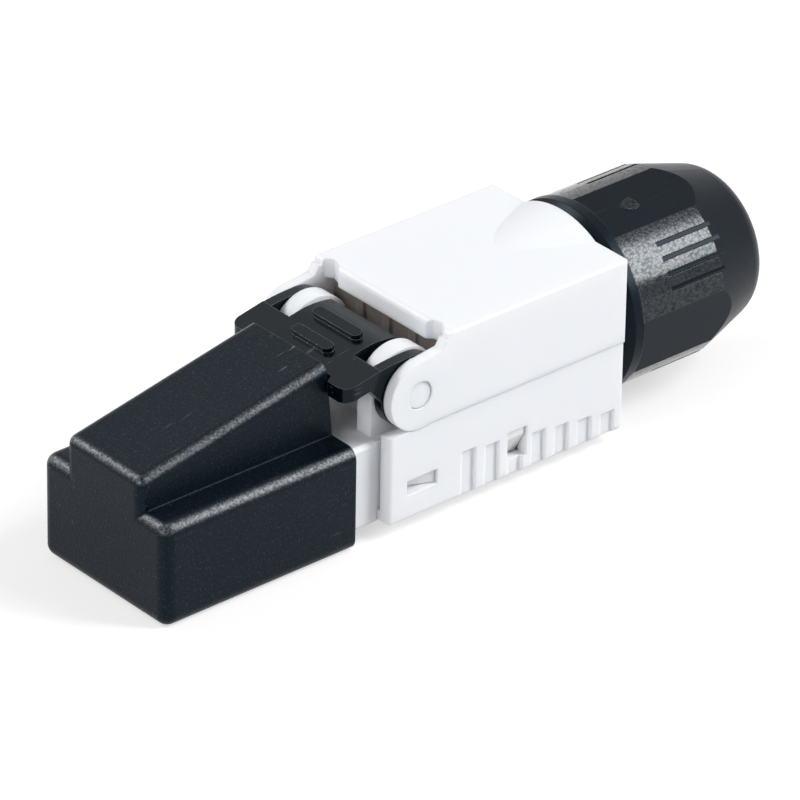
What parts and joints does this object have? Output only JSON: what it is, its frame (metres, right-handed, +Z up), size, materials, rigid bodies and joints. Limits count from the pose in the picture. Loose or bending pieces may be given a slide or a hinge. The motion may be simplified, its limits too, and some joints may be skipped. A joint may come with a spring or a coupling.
{
  "type": "field termination ethernet plug",
  "caption": "Field termination ethernet plug with a black dust cap and latch lever, a white hinged housing and a black cable gland nut.",
  "frame": {"origin": "centre of the bounding box's bottom face, under the middle of the plug", "axes": "+X from the plug nose back to the gland nut, +Z up through the top cover, +Y to the side"},
  "size_m": [0.0548, 0.0142, 0.0153],
  "materials": {
    "housing": "satin",
    "cap": "fine-grained matte",
    "lever": "satin",
    "nut": "satin, worn grain",
    "block": "satin",
    "terminal": "matte",
    "board": "solder mask",
    "contact": "gold plated",
    "blade": "tin plated",
    "collet": "matte",
    "seal": "matte"
  },
  "bodies": {
    "housing": {"lower_housing": "housing", "plug_body": "housing", "circuit_board": "board", "terminal_block": "block", "plug_contact_1": "contact", "plug_contact_2": "contact", "plug_contact_3": "contact", "plug_contact_4": "contact", "plug_contact_5": "contact", "plug_contact_6": "contact", "plug_contact_7": "contact", "plug_contact_8": "contact", "idc_contact_1": "blade", "idc_contact_2": "blade", "idc_contact_3": "blade", "idc_contact_4": "blade", "idc_contact_5": "blade", "idc_contact_6": "blade", "idc_contact_7": "blade", "idc_contact_8": "blade"},
    "cover": {"top_cover": "housing", "wire_manager": "terminal"},
    "lever": {"latch_lever": "lever"},
    "cap": {"dust_cap": "cap"},
    "clamp": {"clamp_collet": "collet", "cable_seal": "seal"},
    "nut": {"gland_nut": "nut"}
  },
  "joints": [
    {"name": "cover_hinge", "type": "hinge", "parent": "housing", "child": "cover", "pos_m": [-0.00583, 0, 0.01039], "axis": [0, -1, 0], "range_deg": [0, 60]},
    {"name": "lever_hinge", "type": "hinge", "parent": "housing", "child": "lever", "pos_m": [-0.00583, 0, 0.01039], "axis": [0, -1, 0], "range_deg": [0, 3], "stiffness_Nm_per_rad": 0.05},
    {"name": "cap_slide", "type": "slide", "parent": "housing", "child": "cap", "axis": [-1, 0, 0], "range_m": [0, 0.022]},
    {"name": "clamp_slide", "type": "slide", "parent": "housing", "child": "clamp", "axis": [1, 0, 0], "range_m": [0, 0.0045]},
    {"name": "nut_hinge", "type": "hinge", "parent": "clamp", "child": "nut", "pos_m": [0.01963, 0, 0.0081], "axis": [1, 0, 0], "range_deg": [0, 1080]}
  ],
  "couplings": [
    {"joint": "nut_hinge", "follows": "clamp_slide", "rad_per_m": 4188.8}
  ]
}
